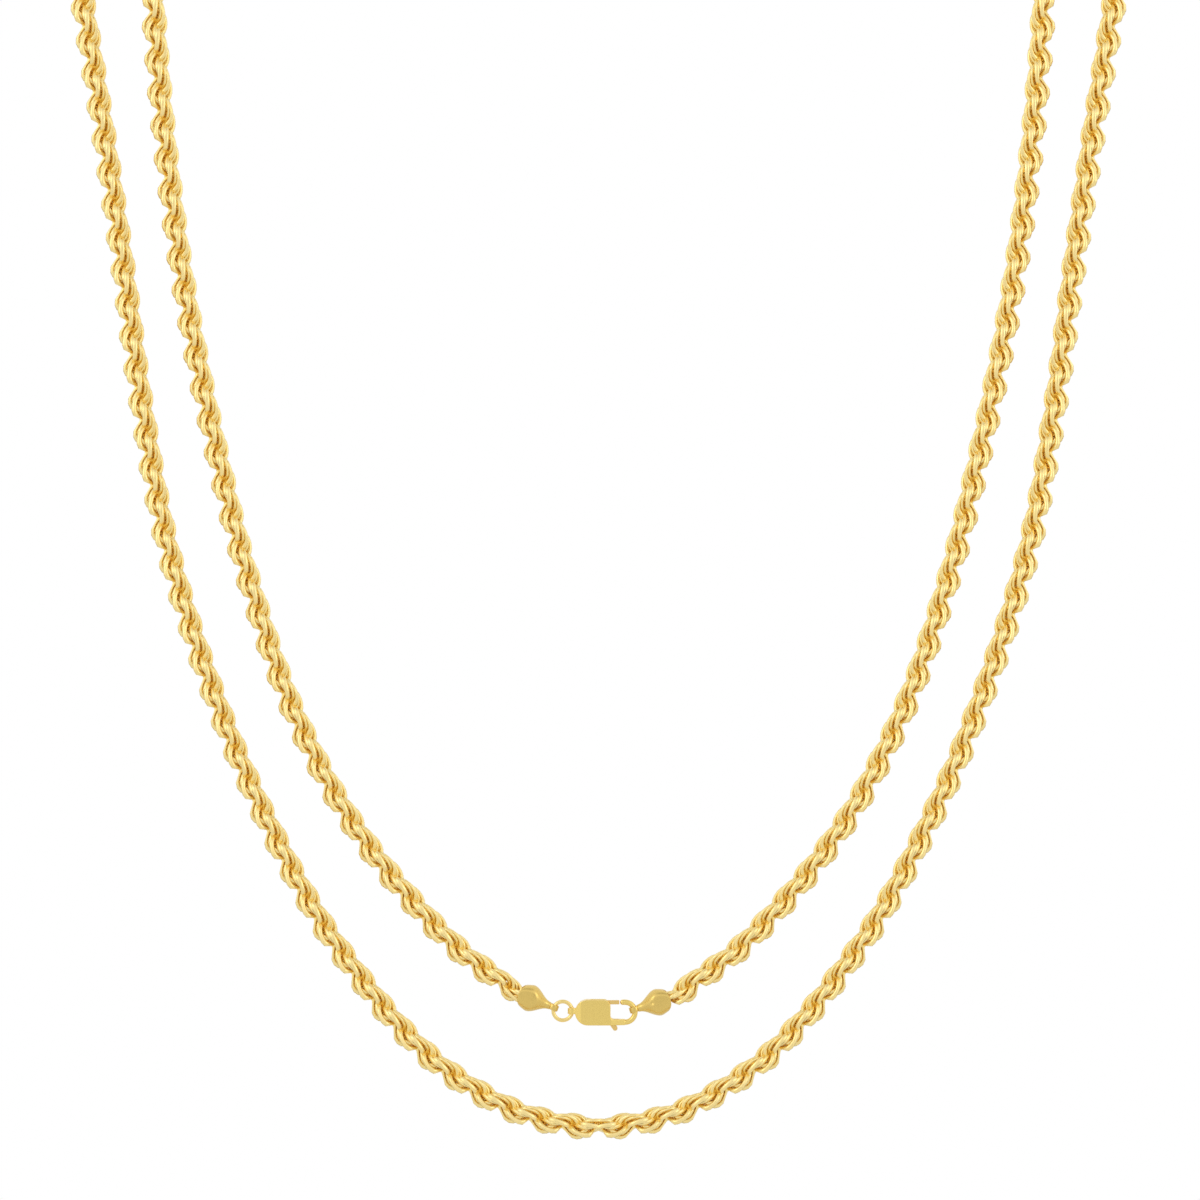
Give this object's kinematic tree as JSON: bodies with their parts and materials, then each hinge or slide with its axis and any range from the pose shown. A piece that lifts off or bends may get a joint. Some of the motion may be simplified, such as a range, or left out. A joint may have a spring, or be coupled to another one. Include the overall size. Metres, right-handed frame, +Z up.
{
  "type": "rope chain necklace",
  "caption": "Gold rope chain necklace of twisted links, hung doubled, closed by a lobster clasp with end caps and a jump ring.",
  "frame": {"origin": "midway between the two pins that the doubled chain hangs over, at the level where it rests on them", "axes": "+X to the wearer's left as the picture shows it (picture right), +Y into the picture, +Z up"},
  "size_m": [0.121, 0.003, 0.1391],
  "materials": {
    "chain_gold": "polished, diamond-cut yellow gold",
    "cap_gold": "soft polished yellow gold",
    "ring_gold": "polished yellow gold wire",
    "clasp_gold": "soft polished yellow gold",
    "lever_gold": "satin yellow gold"
  },
  "bodies": {
    "necklace": {"rope_chain": "chain_gold", "end_cap_left": "cap_gold", "end_cap_right": "cap_gold", "jump_ring": "ring_gold", "clasp_body": "clasp_gold"},
    "lever": {"clasp_lever": "lever_gold"}
  },
  "joints": [
    {"name": "lever_hinge", "type": "hinge", "parent": "necklace", "child": "lever", "pos_m": [0.00034, 0, -0.12059], "axis": [0, 1, 0], "range_deg": [0, 28], "stiffness_Nm_per_rad": 0.0002, "springref_deg": -11.46}
  ]
}
